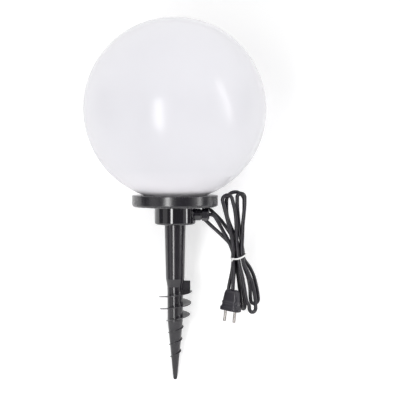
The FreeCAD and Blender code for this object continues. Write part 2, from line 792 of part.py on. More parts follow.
def make_lampholder():
    foot = COLLAR_TOP
    well = HOLDER_WELL
    mouth = f"{foot} + holder_height - holder_mouth_depth"
    holder = turned("holder_turned", [
        ("0", foot),
        ("holder_foot_radius", foot),
        ("holder_foot_radius", f"{foot} + holder_foot_height"),
        ("holder_radius", f"{foot} + holder_foot_height"),
        ("holder_radius - holder_taper", f"{foot} + holder_height"),
        ("holder_shell_radius + holder_mouth_step", f"{foot} + holder_height"),
        ("holder_shell_radius + holder_mouth_step", mouth),
        ("holder_shell_radius + holder_shell_ease", mouth),
        ("holder_shell_radius + holder_shell_ease", well),
        ("0", well),
    ])
    round_rings(holder, "holder_rounding", "holder_round",
                [("holder_foot_radius", f"{foot} + holder_foot_height")])
    tools = []
    for side, sign, along in (("front", "-1", "-Y"), ("back", "1", "Y")):
        tools.append(cylinder(f"holder_screw_hole_{side}", "holder_screw_radius + screw_ease",
                              "holder_foot_height + 2", 0, f"{sign} * holder_screw_circle", f"{foot} - 1"))
        tools.append(cylinder(f"core_hole_{side}", "core_radius + core_ease",
                              "terminal_level + core_end + core_end_room + 1",
                              "core_x", f"{sign} * core_y", f"{foot} - 1"))
        tools.append(cylinder(f"terminal_hole_{side}", "terminal_screw_radius + screw_ease", "holder_radius",
                              "core_x", f"{sign} * core_y", f"{foot} + terminal_level", along))
        tools.append(cylinder(f"terminal_head_hole_{side}", "terminal_head_radius + terminal_head_ease",
                              "terminal_recess + 5", "core_x", f"{sign} * (holder_radius - terminal_recess)",
                              f"{foot} + terminal_level", along))
    piece("lampholder_body", cut("holder_cut", holder, *tools))
    shell_inner = "holder_shell_radius - holder_shell_wall"
    shell = turned("holder_shell", [
        (shell_inner, f"{well}"),
        ("holder_shell_radius", f"{well}"),
        ("holder_shell_radius", f"{mouth} + holder_shell_wall"),
        ("holder_shell_radius + holder_shell_flange", f"{mouth} + holder_shell_wall"),
        ("holder_shell_radius + holder_shell_flange", f"{mouth} + 2 * holder_shell_wall"),
        (shell_inner, f"{mouth} + 2 * holder_shell_wall"),
    ])
    piece("lampholder_thread", shell)
    contact = fuse("contact_whole", [
        box("contact_strip", "contact_strip_length", "contact_strip_width", "contact_strip_thickness",
            "-contact_strip_length / 2", "-contact_strip_width / 2", well),
        cylinder("contact_dome", "contact_radius", "contact_height", z=well),
    ])
    piece("lampholder_contact", contact)
    screws = []
    for side, sign, along in (("front", "-1", "-Y"), ("back", "1", "Y")):
        inner_end = "(core_y + core_radius + screw_ease)"
        shank = cylinder(f"terminal_shank_{side}", "terminal_screw_radius",
                         f"holder_radius - terminal_recess - {inner_end}",
                         "core_x", f"{sign} * {inner_end}", f"{foot} + terminal_level", along)
        head = cylinder(f"terminal_head_{side}", "terminal_head_radius", "terminal_head_height",
                        "core_x", f"{sign} * (holder_radius - terminal_recess)",
                        f"{foot} + terminal_level", along)
        screws.append(fuse(f"terminal_screw_{side}", [shank, head]))
    piece("terminal_screws", group("terminal_screw_set", screws))


# Bulb: a screw cap with thread rings, an insulator, a plastic body, a board of chips and a diffuser.


def make_bulb():
    rings = []
    for number in range(int(size("cap_threads"))):
        low = f"{CAP_FOOT} + {number} * cap_thread_pitch"
        rings.append(("cap_root_radius", f"{low}"))
        rings.append(("cap_crest_radius", f"{low} + cap_thread_pitch / 2"))
    rings.append(("cap_root_radius", CAP_TOP))
    inside = "cap_root_radius - cap_wall"
    piece("bulb_cap", turned("cap_turned", [(inside, CAP_FOOT), *rings, (inside, CAP_TOP)]))
    insulator = turned("insulator_turned", [
        ("0", f"{BULB_FOOT} + button_height"),
        ("button_radius + insulator_rim", f"{BULB_FOOT} + button_height"),
        ("cap_root_radius", CAP_FOOT),
        ("0", CAP_FOOT),
    ])
    piece("bulb_insulator", insulator)
    piece("bulb_contact", cylinder("button", "button_radius", "button_height", z=BULB_FOOT))
    inner_mouth = "bulb_mouth_radius - bulb_shell_wall"
    middle = f"{CAP_TOP} + bulb_shell_height / 2"
    shell = turned("bulb_shell", [
        ("cap_root_radius - bulb_neck_inset", CAP_TOP),
        ("cap_crest_radius + bulb_foot_step", CAP_TOP),
        ("cap_crest_radius + bulb_foot_flare", f"{CAP_TOP} + bulb_foot_height"),
        ("cap_crest_radius + bulb_waist_flare", middle),
        ("bulb_mouth_radius", BULB_MOUTH),
        (inner_mouth, BULB_MOUTH),
        (inner_mouth, f"{BULB_MOUTH} - board_drop"),
        (f"{inner_mouth} - board_ledge", f"{BULB_MOUTH} - board_drop - board_ledge"),
        ("cap_crest_radius + bulb_waist_flare - bulb_shell_wall", f"{middle} + bulb_shell_wall / 2"),
        ("cap_root_radius - bulb_neck_inset", f"{CAP_TOP} + 2 * bulb_shell_wall"),
    ])
    piece("bulb_body", shell)
    board_foot = f"({BULB_MOUTH} - board_drop)"
    piece("led_board", cylinder("board_disc", f"{inner_mouth} - board_ease", "board_thickness", z=board_foot))
    chips = []
    count = int(size("led_count"))
    for number in range(count):
        x, y = around("led_circle", 360 * number / count)
        chips.append(box(f"chip_{number}", "led_side", "led_side", "led_thickness",
                         f"{x} - led_side / 2", f"{y} - led_side / 2", f"{board_foot} + board_thickness"))
    piece("leds", group("led_set", chips))
    centre = f"({BULB_MOUTH} + diffuser_rise)"
    outside = common("diffuser_outside", sphere("diffuser_ball", "bulb_radius", centre),
                     cylinder("diffuser_span", "bulb_radius + 1", "2 * bulb_radius + diffuser_rise",
                              z=f"{BULB_MOUTH} + diffuser_gap"))
    diffuser = cut("diffuser_cut", outside, sphere("diffuser_hollow", "bulb_radius - diffuser_wall", centre))
    piece("bulb_diffuser", diffuser)


# Lead: its runs through the gland, the loops of the hank, and the stretch to the plug.


def direction(vector):
    """The same way, one millimetre long."""
    return vector * (1 / vector.Length)


def rounded_runs(points, label):
    """Straight runs through the points, each corner rounded as far as its shorter run allows."""
    edges = []
    start = points[0]
    radii = []
    for before, corner, after in zip(points, points[1:], points[2:]):
        reach = 0.45 * min((corner - before).Length, (after - corner).Length)
        incoming = direction(corner - before)
        outgoing = direction(after - corner)
        first = corner - incoming * reach
        last = corner + outgoing * reach
        turn = incoming.getAngle(outgoing)
        radius = reach / math.tan(turn / 2)
        inward = direction(outgoing - incoming)
        middle = corner + inward * (radius / math.cos(turn / 2) - radius)
        edges.append(Part.LineSegment(start, first).toShape())
        edges.append(Part.Arc(first, middle, last).toShape())
        start = last
        radii.append(round(radius, 1))
    edges.append(Part.LineSegment(start, points[-1]).toShape())
    print(label, "radii", radii)
    return edges


def arc_from(start, way, end):
    """The arc, or the line, that leaves a point one way and ends at another point."""
    chord = end - start
    straight = direction(chord)
    sideways = way - straight * way.dot(straight)
    if sideways.Length < 1e-4:
        return Part.LineSegment(start, end).toShape(), 1e9
    turn = way.getAngle(straight)
    middle = (start + end) * 0.5 + direction(sideways) * (chord.Length / 2 * math.tan(turn / 2))
    return Part.Arc(start, middle, end).toShape(), chord.Length / 2 / math.sin(turn)


def biarc(start, start_way, end, end_way):
    """Two arcs that leave one point and reach another, each in its given direction."""
    span = end - start
    ways = start_way + end_way
    squeeze = 2 * (1 - start_way.dot(end_way))
    along = span.dot(ways)
    if squeeze < 1e-9:
        reach = span.dot(span) / (4 * span.dot(end_way))
    else:
        reach = (math.sqrt(along * along + squeeze * span.dot(span)) - along) / squeeze
    joint = (start + start_way * reach + end - end_way * reach) * 0.5
    first, first_radius = arc_from(start, start_way, joint)
    joint_way = direction(end - end_way * reach - start - start_way * reach)
    second, second_radius = arc_from(joint, joint_way, end)
    return [first, second], min(first_radius, second_radius)


def tube(edges, radius, start, way):
    """A round solid along a path that starts at a point and leaves it one way."""
    path = Part.Wire(edges)
    ring = Part.Wire([Part.Circle(start, way, radius).toShape()])
    solid = path.makePipeShell([ring], True, False)
    plain_volume = math.pi * radius ** 2 * path.Length
    print("   volume over section times length", round(solid.Volume / plain_volume, 5),
          "length", round(path.Length, 1))
    return solid


# The tie gathers nine strands in three columns and three rows.
COLUMNS = {"left": -1, "middle": 0, "right": 1}
ROWS = {"front": -1, "centre": 0, "back": 1}
WAIST_X = 103.6
WAIST_Y = 2.8


def waist(column, row):
    """The place in the tie of one strand."""
    return Vector(
        WAIST_X + COLUMNS[column] * size("column_step"),
        WAIST_Y + ROWS[row] * size("row_step"),
        size("tie_level"),
    )


def fold(centre, half, lean):
    """The stations of a loop's end: its incoming side, its tip and its outgoing side."""
    across = direction(half)
    outward = direction(lean - across * lean.dot(across))
    return [
        (centre - half, outward),
        (centre + outward * half.Length, across),
        (centre + half, outward * -1),
    ]


# Each loop: the end's centre, half its width towards the outgoing side, and the way it points.
LOWER_LEFT = (Vector(94.4, 6.2, 131.5), Vector(6.3, 1.6, 0), Vector(0, 0, -1))
LOWER_NARROW = (Vector(113.0, 6.4, 126), Vector(0.6, -6.5, 0), Vector(0.1, 0, -1))
LOWER_OUTER = (Vector(131.5, 7.6, 138), Vector(-6.8, -2.6, -1), Vector(-0.15, 0, -1))
LOWER_WIDE = (Vector(127.4, -6, 123.6), Vector(-7.1, 0.8, 0), Vector(0.02, 0, -1))
UPPER_GLAND = (Vector(54.3, 15.6, 275.5), Vector(6.35, 0.3, 6.62), Vector(-0.72, 0, 0.69))
UPPER_WIDE = (Vector(99.5, 6.6, 299.5), Vector(14.75, 1.4, 0), Vector(0, 0, 1))
UPPER_NARROW = (Vector(107.9, -1.6, 306.2), Vector(6.3, -2.4, 0), Vector(0, 0, 1))
UPPER_LEFT = (Vector(86.0, -6, 301.5), Vector(-8.66, -0.4, -1.22), Vector(-0.14, 0, 0.99))

DOWN = Vector(0, 0, -1)
UP = Vector(0, 0, 1)

HANK_START = Vector(91.9, 2.8, 225)
HANK_WAY = direction(Vector(2.5, 0, -6.8))


def hank_stations():
    """Every place and way of the hank's line, from the strand that leaves the gland to the tail."""
    return [
        (HANK_START, HANK_WAY),
        (HANK_START + HANK_WAY * 6.2, HANK_WAY),
        (waist("left", "centre"), DOWN),
        *fold(*LOWER_LEFT),
        (waist("left", "back"), UP),
        (Vector(84.4, 12, 235), direction(Vector(-0.72, 0.08, 0.7))),
        *fold(*UPPER_GLAND),
        (waist("middle", "back"), DOWN),
        *fold(*LOWER_NARROW),
        (waist("middle", "centre"), UP),
        *fold(*UPPER_WIDE),
        (waist("right", "back"), direction(Vector(0.1, 0, -1))),
        (Vector(125.9, 11.4, 184.8), direction(Vector(0.4, 0, -1))),
        *fold(*LOWER_OUTER),
        (waist("right", "centre"), direction(Vector(-0.12, 0, 1))),
        *fold(*UPPER_NARROW),
        (waist("right", "front"), direction(Vector(0.12, 0, -1))),
        *fold(*LOWER_WIDE),
        (waist("middle", "front"), direction(Vector(-0.1, 0, 1))),
        *fold(*UPPER_LEFT),
        (waist("left", "front"), DOWN),
        (waist("left", "front") + DOWN * 9, DOWN),
    ]


def least_gap(edges):
    """The smallest distance between the surfaces of strands that lie side by side."""
    diameter = 2 * size("cord_radius")
    points = []
    for edge in edges:
        points.extend(edge.discretize(Distance=1.5)[:-1])
    cells = {}
    for index, point in enumerate(points):
        cells.setdefault(tuple(int(value // 12) for value in point), []).append(index)
    nearest = (1e9, None)
    for (i, j, k), members in cells.items():
        around = [
            index
            for di in (-1, 0, 1) for dj in (-1, 0, 1) for dk in (-1, 0, 1)
            for index in cells.get((i + di, j + dj, k + dk), ())
        ]
        for one in members:
            for other in around:
                if other - one < 2.2 * diameter / 1.5:
                    continue
                gap = (points[one] - points[other]).Length - diameter
                nearest = min(nearest, (gap, (one, other)))
    where = [tuple(round(value, 1) for value in points[index]) for index in nearest[1]]
    print("hank least gap to itself", round(nearest[0], 2), "between", where)


def make_hank():
    stations = hank_stations()
    edges = []
    radii = []
    for (start, start_way), (end, end_way) in zip(stations, stations[1:]):
        arcs, radius = biarc(start, start_way, end, end_way)
        edges.extend(arcs)
        radii.append(round(radius, 1))
    print("hank least radii", radii)
    least_gap(edges)
    start, way = stations[0]
    shaped("cord_hank", tube(edges, size("cord_radius"), start, way))


LEAD_POINTS = [
    Vector(60.9, 0, 277),
    Vector(65.0, 0, 274.7),
    Vector(67.9, 0.1, 270.3),
    Vector(73.2, 0.6, 261.2),
    Vector(80.2, 1.6, 248.0),
    Vector(85.3, 2.3, 239.2),
    Vector(89.4, 2.8, 231.8),
]
TAIL_POINTS = [
    Vector(96.0, -4.3, 190.5),
    Vector(95.9, -8.2, 181.5),
    Vector(95.8, -13.8, 172.5),
    Vector(95.54, -16.4, 163.55),
]
PLUG_TOP = Vector(94.6, -16.4, 154.6)


def make_lead():
    gland = Vector(size(CORD_EXIT), 0, size(GLAND))
    hank_start = hank_stations()[0][0]
    hank_end = hank_stations()[-1][0]
    radius = size("cord_radius")
    lead = rounded_runs([gland, *LEAD_POINTS, hank_start], "cord_lead")
    way = LEAD_POINTS[0] - gland
    shaped("cord_lead", tube(lead, radius, gland, way))
    tail = rounded_runs([hank_end, *TAIL_POINTS, PLUG_TOP], "cord_tail")
    shaped("cord_tail", tube(tail, radius, hank_end, TAIL_POINTS[0] - hank_end))
    inner = cylinder("sheath", "cord_radius", f"{CORD_EXIT} - {SHEATH_END}", x=SHEATH_END, z=GLAND, along="X")
    piece("cord_inner_end", inner)


def make_cores():
    """Two insulated cores from the sheath's end up through the collar to the terminals."""
    gland_level = size(GLAND)
    foot = size(COLLAR_TOP)
    top = size(f"{COLLAR_TOP} + terminal_level + core_end")
    sheath_end = size(SHEATH_END)
    core_x = size("core_x")
    for label, side in (("core_brown", -1), ("core_blue", 1)):
        start = Vector(sheath_end, side * size("core_offset"), gland_level)
        points = [
            start,
            Vector(sheath_end - 2.5, side * size("core_offset"), gland_level),
            Vector(core_x + 0.8, side * 4.8, gland_level + 3.0),
            Vector(core_x, side * size("core_y"), foot - 4),
            Vector(core_x, side * size("core_y"), top),
        ]
        edges = rounded_runs(points, label)
        shaped(label, tube(edges, size("core_radius"), start, points[1] - start))


def make_cord_clamp():
    bar = box("clamp_bar", "clamp_length", "clamp_width", "cord_radius + clamp_bridge",
              "clamp_x", "-clamp_width / 2", GLAND)
    groove = cylinder("clamp_groove", "cord_radius + cord_ease", "clamp_length + 2",
                      x="clamp_x - 1", z=GLAND, along="X")
    holes = [
        cylinder(f"clamp_hole_{side}", "clamp_screw_radius + screw_ease", "cord_radius + clamp_bridge + 2",
                 "clamp_x + clamp_length / 2", f"{sign} * clamp_screw_reach", f"{GLAND} - 1")
        for side, sign in SIDES
    ]
    piece("cord_clamp", cut("clamp_cut", bar, groove, *holes))


def make_hank_tie():
    """A flat white band round the nine strands, its right end higher than its left."""
    length = "(2 * column_step + 2 * cord_radius + 2 * tie_gap)"
    width = "(2 * row_step + 2 * cord_radius + 2 * tie_gap)"
    outer = box("tie_outer", f"{length} + 2 * tie_thickness", f"{width} + 2 * tie_thickness", "tie_band",
                f"-{length} / 2 - tie_thickness", f"-{width} / 2 - tie_thickness", "-tie_band / 2")
    inner = box("tie_inner", length, width, "tie_band + 2",
                f"-{length} / 2", f"-{width} / 2", "-tie_band / 2 - 1")
    doc.recompute()
    rounded = []
    for item, radius in ((outer, "cord_radius + tie_gap + tie_thickness"), (inner, "cord_radius + tie_gap")):
        fillet = doc.addObject("Part::Fillet", item.Name + "_rounded")
        fillet.Base = item
        value = size(radius)
        upright = [
            number for number, edge in enumerate(item.Shape.Edges, start=1)
            if abs(edge.tangentAt(edge.FirstParameter).z) > 0.99
        ]
        fillet.Edges = [(number, value, value) for number in upright]
        rounded.append(fillet)
    band = cut("tie_cut", *rounded)
    band.Placement = Placement(
        Vector(WAIST_X, WAIST_Y, size("tie_level")), Rotation(Vector(0, 1, 0), -size("tie_tilt")))
    piece("hank_tie", band)


# Plug: a two-pin contour plug of rubber with plain round pins.


def plug_placement():
    """The plug's own frame: its cord end at the top, its pins pointing down and turned to the front."""
    tilt = Rotation(Vector(0, 1, 0), size("plug_tilt"))
    turn = Rotation(Vector(0, 0, 1), -size("plug_turn"))
    return Placement(PLUG_TOP, tilt.multiply(turn))


def stadium(width, depth, level):
    """A flat ring with straight sides and round ends."""
    half = (width - depth) / 2
    end = depth / 2
    corners = [Vector(-half, -end, level), Vector(half, -end, level),
               Vector(half, end, level), Vector(-half, end, level)]
    return Part.Wire([
        Part.LineSegment(corners[0], corners[1]).toShape(),
        Part.Arc(corners[1], Vector(half + end, 0, level), corners[2]).toShape(),
        Part.LineSegment(corners[2], corners[3]).toShape(),
        Part.Arc(corners[3], Vector(-half - end, 0, level), corners[0]).toShape(),
    ])


def make_plug():
    face = -size("plug_length")
    rim = face + size("plug_flange")
    depth = size("plug_depth")
    flange = (size("plug_width"), depth + size("plug_flange_step"))
    upper = Part.makeLoft([
        stadium(size("plug_neck_width"), size("plug_neck_depth"), 0),
        stadium(size("plug_shoulder_width"), size("plug_shoulder_depth"), -size("plug_shoulder_drop")),
        stadium(size("plug_grip_width"), size("plug_grip_depth"), -size("plug_grip_drop")),
        stadium(size("plug_skirt_width"), depth, rim + size("plug_skirt_rise")),
        stadium(*flange, rim),
    ], True, True)
    lower = Part.makeLoft([stadium(*flange, rim), stadium(*flange, face)], True, True)
    body = upper.fuse(lower).removeSplitter()
    pins = []
    for side in (-1, 1):
        centre = Vector(side * size("pin_spacing") / 2, 0, face + size("pin_root"))
        hole_radius = size("pin_root_radius") + size("pin_ease")
        hole = Part.makeCylinder(hole_radius, size("pin_root") + 1, centre, DOWN)
        body = body.cut(hole)
        root = Part.makeCylinder(size("pin_root_radius"), size("pin_root"), centre, DOWN)
        shank = Part.makeCylinder(size("pin_radius"), size("pin_length"), Vector(centre.x, 0, face), DOWN)
        tip = [edge for edge in shank.Edges
               if hasattr(edge.Curve, "Radius") and edge.Curve.Center.z < face - 1]
        pins.append(shank.makeFillet(size("pin_tip_round"), tip).fuse(root))
    place_at = plug_placement()
    body_piece = shaped("plug_body", body)
    body_piece.Placement = place_at
    pin_piece = shaped("plug_pins", Part.makeCompound(pins))
    pin_piece.Placement = place_at


def check_and_write():
    """Stop on any failed object or shape, then write each piece."""
    doc.recompute()
    for item in doc.Objects:
        if "Invalid" in item.State or "Error" in item.State:
            raise SystemExit("failed object: " + item.Name)
    for label, item in PIECES.items():
        if item.Shape.isNull() or not item.Shape.isValid() or not item.Shape.Solids:
            raise SystemExit("bad shape: " + label)
    os.makedirs("parts", exist_ok=True)
    for label, item in PIECES.items():
        item.Shape.exportStep("parts/" + label + ".step")
        corners = item.Shape.BoundBox
        print(label, len(item.Shape.Solids), "solids", round(item.Shape.Volume), "mm3",
              [round(value, 1) for value in (corners.XMin, corners.YMin, corners.ZMin,
                                             corners.XMax, corners.YMax, corners.ZMax)])


make_ground_spike()
make_base_housing()
make_base_gasket()
make_collar_ring()
make_globe_seal()
make_globe()
make_screws()
make_gland()
make_lampholder()
make_bulb()
make_hank()
make_lead()
make_cores()
make_cord_clamp()
make_hank_tie()
make_plug()
check_and_write()
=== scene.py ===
import math

import bpy
import mathutils
import numpy as np
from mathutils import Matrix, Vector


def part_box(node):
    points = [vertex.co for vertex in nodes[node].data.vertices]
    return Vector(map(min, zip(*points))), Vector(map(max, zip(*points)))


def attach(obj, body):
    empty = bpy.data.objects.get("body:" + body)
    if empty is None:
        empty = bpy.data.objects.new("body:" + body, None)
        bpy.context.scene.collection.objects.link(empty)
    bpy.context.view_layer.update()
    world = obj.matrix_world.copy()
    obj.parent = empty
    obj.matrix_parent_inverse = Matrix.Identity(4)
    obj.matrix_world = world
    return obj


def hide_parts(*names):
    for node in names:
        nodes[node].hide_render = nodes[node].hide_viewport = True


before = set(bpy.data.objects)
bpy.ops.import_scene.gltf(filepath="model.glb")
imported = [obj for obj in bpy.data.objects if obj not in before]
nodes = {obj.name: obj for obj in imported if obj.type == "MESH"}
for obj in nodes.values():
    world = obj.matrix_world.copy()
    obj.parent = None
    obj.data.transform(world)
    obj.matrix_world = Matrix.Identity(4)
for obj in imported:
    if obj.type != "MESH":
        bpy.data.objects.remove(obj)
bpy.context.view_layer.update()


# Camera: it looks along +Y from 1.6 m away and 2.5 degrees above the level, at a point between the
# light's axis and the hank of lead, as the light was photographed.

CAMERA_DISTANCE = 1.6
CAMERA_HEIGHT_ANGLE = 2.5
CAMERA_TARGET = (0.0411, 0, 0.3011)
CAMERA_LENS = 87.2
CAMERA_SENSOR = 36


def look_from(distance, height_angle, target, lens):
    """The camera stands at target + distance (0, -cos a, sin a) and looks at target."""
    data = bpy.data.cameras.new("camera")
    data.sensor_width = CAMERA_SENSOR
    data.lens = lens
    camera = bpy.data.objects.new("camera", data)
    bpy.context.scene.collection.objects.link(camera)
    angle = math.radians(height_angle)
    back, rise = distance * math.cos(angle), distance * math.sin(angle)
    camera.location = (target[0], target[1] - back, target[2] + rise)
    camera.rotation_euler = (math.radians(90) - angle, 0, 0)
    bpy.context.scene.camera = camera


look_from(CAMERA_DISTANCE, CAMERA_HEIGHT_ANGLE, CAMERA_TARGET, CAMERA_LENS)


# Ground spike: one moulding of black polypropylene, a tube over a tapered screw. The mould leaves a
# satin skin that is a little uneven, with faint flow marks along the tube.

# Patches in a metre: the gloss wanders over some 15 mm and the flow marks over some 40 mm, drawn
# out along the height.
GLOSS_PATCHES, FLOW_MARKS = 65, 26
FLOW_DRAWN_OUT = (1, 1, 0.35)


def linear(code):
    """An sRGB hex colour as linear red, green, blue and 1: v / 12.92 up to 0.04045, and
    ((v + 0.055) / 1.055) ^ 2.4 above it."""
    value = np.array([int(code[i:i + 2], 16) for i in (1, 3, 5)]) / 255
    return (*np.where(value <= 0.04045, value / 12.92, ((value + 0.055) / 1.055) ** 2.4), 1)


def add(material, kind, settings=None, shaders=(), **links):
    """Add one shader node, set its values, and link its inputs to other nodes' outputs. The shaders
    that it adds together or mixes go into its last inputs."""
    node = material.node_tree.nodes.new("ShaderNode" + kind)
    for key, value in (settings or {}).items():
        if hasattr(node, key):
            setattr(node, key, value)
        else:
            node.inputs[key].default_value = value
    for key, source in links.items():
        material.node_tree.links.new(node.inputs[key.replace("_", " ")], source)
    for place_for, shader in zip(list(node.inputs)[-len(shaders):], shaders):
        material.node_tree.links.new(place_for, shader.outputs[0])
    return node


def start_material(name):
    """An empty material, and the place on the object that its patterns follow."""
    material = bpy.data.materials.new(name)
    material.use_nodes = True
    material.node_tree.nodes.clear()
    return material, add(material, "TexCoord").outputs["Object"]


def finish_material(material, shader):
    """Join a shader to the material's output."""
    add(material, "OutputMaterial", Surface=shader.outputs[0])
    return material


def dress(material, *names):
    """Give CAD nodes a material in all their slots."""
    for name in names:
        for entry in nodes[name].material_slots:
            entry.material = material


def moulded_plastic(name, colour, gloss, skin_size, skin_depth, coat=0.0, ior=1.5):
    """Injection-moulded plastic or rubber. Its skin is a fine noise as deep as skin_depth, its gloss
    wanders between two roughnesses in patches, and its colour is a shade lighter where the melt
    flowed last. Sizes are in metres."""
    material, place = start_material(name)
    skin = add(material, "TexNoise", {"Scale": 1 / skin_size, "Detail": 3}, Vector=place)
    bump = add(material, "Bump", {"Strength": 1, "Distance": skin_depth}, Height=skin.outputs[0])
    wander = add(material, "TexNoise", {"Scale": GLOSS_PATCHES, "Detail": 2}, Vector=place)
    rough = add(material, "MapRange", {"From Min": 0.3, "From Max": 0.7, "To Min": gloss[0],
                                       "To Max": gloss[1]}, Value=wander.outputs[0])
    stretch = add(material, "Mapping", {"Scale": FLOW_DRAWN_OUT}, Vector=place)
    flow = add(material, "TexNoise", {"Scale": FLOW_MARKS, "Detail": 4, "Distortion": 0.6},
               Vector=stretch.outputs[0])
    shade = add(material, "ValToRGB", Fac=flow.outputs[0])
    for stop, position, code in zip(shade.color_ramp.elements, (0.35, 0.7), colour):
        stop.position = position
        stop.color = linear(code)
    shader = add(material, "BsdfPrincipled", {"IOR": ior, "Coat Weight": coat, "Coat Roughness": gloss[0]},
                 Base_Color=shade.outputs[0], Roughness=rough.outputs[0], Normal=bump.outputs[0])
    return finish_material(material, shader)


dress(moulded_plastic("moulded_polypropylene", ("#141019", "#1a161f"), gloss=(0.2, 0.26),
                      skin_size=0.0016, skin_depth=0.000014, coat=0.9), "ground_spike")


# Base housing and collar ring: two mouldings of black ABS, joined by screws from below with a rubber
# gasket between them. The housing and the clamp inside it come out of a polished mould, so the lights
# show in it as sharp bands. The ring is satin, so they show in it as soft ones.

ABS_BLACK = ("#0e0b15", "#120f19")
dress(moulded_plastic("polished_abs", ABS_BLACK, gloss=(0.07, 0.11), skin_size=0.005,
                      skin_depth=0.000006, coat=1.0, ior=1.54), "base_housing", "cord_clamp")
dress(moulded_plastic("satin_abs", ABS_BLACK, gloss=(0.24, 0.3), skin_size=0.003,
                      skin_depth=0.000008, coat=1.0, ior=1.54), "collar_ring")


# Globe: a hollow ball of opal acrylic, blown in a mould and glossy outside. The white filler is mixed
# in, so it has no grain. Its neck is painted whiter, as painted light that lifts the shade above the
# collar ring. Its skin ripples a little over 30 mm, as a blown one does, and light goes some way into
# it.

# NECK_WHITE is painted light: a whiter neck that lifts the shade the collar ring casts on the globe.
NECK_WHITE, WALL_WHITE, TOP_WHITE = "#FDFAFF", "#EEEDF2", "#F0EFF4"
NECK_SHARE, WALL_SHARE = 0.03, 0.18
RIPPLES, RIPPLE_DEPTH = 30, 0.00006
HAZE_PATCHES, GLOBE_GLOSS = 12, (0.18, 0.23)
GLOBE_LOW, GLOBE_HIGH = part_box("globe")[0][2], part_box("globe")[1][2]
opal, place = start_material("blown_opal_acrylic")
level = add(opal, "SeparateXYZ", Vector=place).outputs["Z"]
height = add(opal, "MapRange", {"From Min": GLOBE_LOW, "From Max": GLOBE_HIGH}, Value=level)
# The ramp's lowest stop paints the neck whiter, as painted light against the shade above the collar ring.
painted_neck_light_ramp = add(opal, "ValToRGB", Fac=height.outputs[0])
painted_neck_light_ramp.color_ramp.elements[0].position = NECK_SHARE
painted_neck_light_ramp.color_ramp.elements[0].color = linear(NECK_WHITE)
painted_neck_light_ramp.color_ramp.elements[1].color = linear(TOP_WHITE)
painted_neck_light_ramp.color_ramp.elements.new(WALL_SHARE).color = linear(WALL_WHITE)
ripple = add(opal, "TexNoise", {"Scale": RIPPLES, "Detail": 1}, Vector=place)
bump = add(opal, "Bump", {"Strength": 1, "Distance": RIPPLE_DEPTH}, Height=ripple.outputs[0])
haze = add(opal, "TexNoise", {"Scale": HAZE_PATCHES, "Detail": 2}, Vector=place)
rough = add(opal, "MapRange", {"To Min": GLOBE_GLOSS[0], "To Max": GLOBE_GLOSS[1]},
            Value=haze.outputs[0])
shader = add(opal, "BsdfPrincipled", {"IOR": 1.49, "Specular IOR Level": 0.38, "Subsurface Weight": 0.3,
                                      "Subsurface Radius": (1, 0.98, 0.95), "Subsurface Scale": 0.016,
                                      "Diffuse Roughness": 0.6},
             Base_Color=painted_neck_light_ramp.outputs[0], Roughness=rough.outputs[0], Normal=bump.outputs[0])
dress(finish_material(opal, shader), "globe")


# Cable gland: black nylon, a flanged body held by a locknut inside the housing, and a nut that presses
# a rubber insert round the lead. Nylon mouldings keep a slightly waxy gloss. The seals are matt rubber.

dress(moulded_plastic("moulded_nylon", ("#15111b", "#1b1822"), gloss=(0.2, 0.3), skin_size=0.0012,
                      skin_depth=0.000015, coat=0.5, ior=1.53),
      "gland_body", "gland_locknut", "gland_nut")
dress(moulded_plastic("moulded_seal_rubber", ("#1e1e1e", "#262626"), gloss=(0.55, 0.65),
                      skin_size=0.0008, skin_depth=0.00003),
      "base_gasket", "globe_seal", "gland_o_ring", "gland_insert")


# Lead: a round black rubber lead, 6.2 mm thick. It leaves the gland, falls into a hank of nine strands
# that a tie holds, and comes out below as the short stretch to the plug. Extruded rubber is satin, with
# a skin as fine as the die leaves it.

MM = 0.001
CORD_DIAMETER = 0.0062
GLAND_MOUTH = (56.6, 0, 277)
LEAD_ROUTE = [(60.9, 0, 277), (65.0, 0, 274.7), (67.9, 0.1, 270.3), (73.2, 0.6, 261.2),
              (80.2, 1.6, 248.0), (85.3, 2.3, 239.2), (89.4, 2.8, 231.8)]
TAIL_ROUTE = [(96.0, -4.3, 190.5), (95.9, -8.2, 181.5), (95.8, -13.8, 172.5),
              (95.54, -16.4, 163.55), (94.6, -16.4, 154.6)]
TIE_LEVEL = 206.0
FRONT, CENTRE, BACK = -4.3, 2.8, 9.9
UP = (0, 0, 1)
DOWN = (0, 0, -1)
LOOP_STEP = 30
STRAIGHT_ENOUGH = 1e-9


def unit(way):
    """The same way, one long."""
    way = np.array(way, float)
    return way / np.linalg.norm(way)


def strand(x, y, z, way):
    """One place on the line and the way the lead runs there."""
    return [(np.array((x, y, z), float), unit(way))]


def loop(centre, half, lean):
    """A loop's end: a half circle round its centre, from centre - half to centre + half, that points
    the way out, which is lean without its part along half. Its points are
    p(a) = centre - half cos a + out |half| sin a, at 15, 45 ... 165 degrees, each moved outwards by
    1 / cos 15, so that the spline inside them runs on the circle."""
    centre, half = np.array(centre, float), np.array(half, float)
    across = unit(half)
    out = unit(np.array(lean) - across * np.dot(lean, across))
    size = np.linalg.norm(half)
    half_step = math.radians(LOOP_STEP / 2)
    step = size * math.tan(half_step)
    angle = np.radians(np.arange(LOOP_STEP / 2, 180, LOOP_STEP))[:, None]
    turn = (out * np.sin(angle) * size - half * np.cos(angle)) / math.cos(half_step)
    return [(centre - half - out * step, out), centre + turn, (centre + half - out * step, -out)]


def between(start, way, end, next_way):
    """Two points that steer the line from one place to the next: start + way d and end - next_way d,
    with the distance d at which these two lie 2 d apart."""
    span = end - start
    both = way + next_way
    squeeze = 4 - both @ both
    along = span @ both
    if squeeze < STRAIGHT_ENOUGH:
        reach = span @ span / (2 * along)
    else:
        reach = (math.sqrt(along * along + squeeze * (span @ span)) - along) / squeeze
    return [start + way * reach, end - next_way * reach]


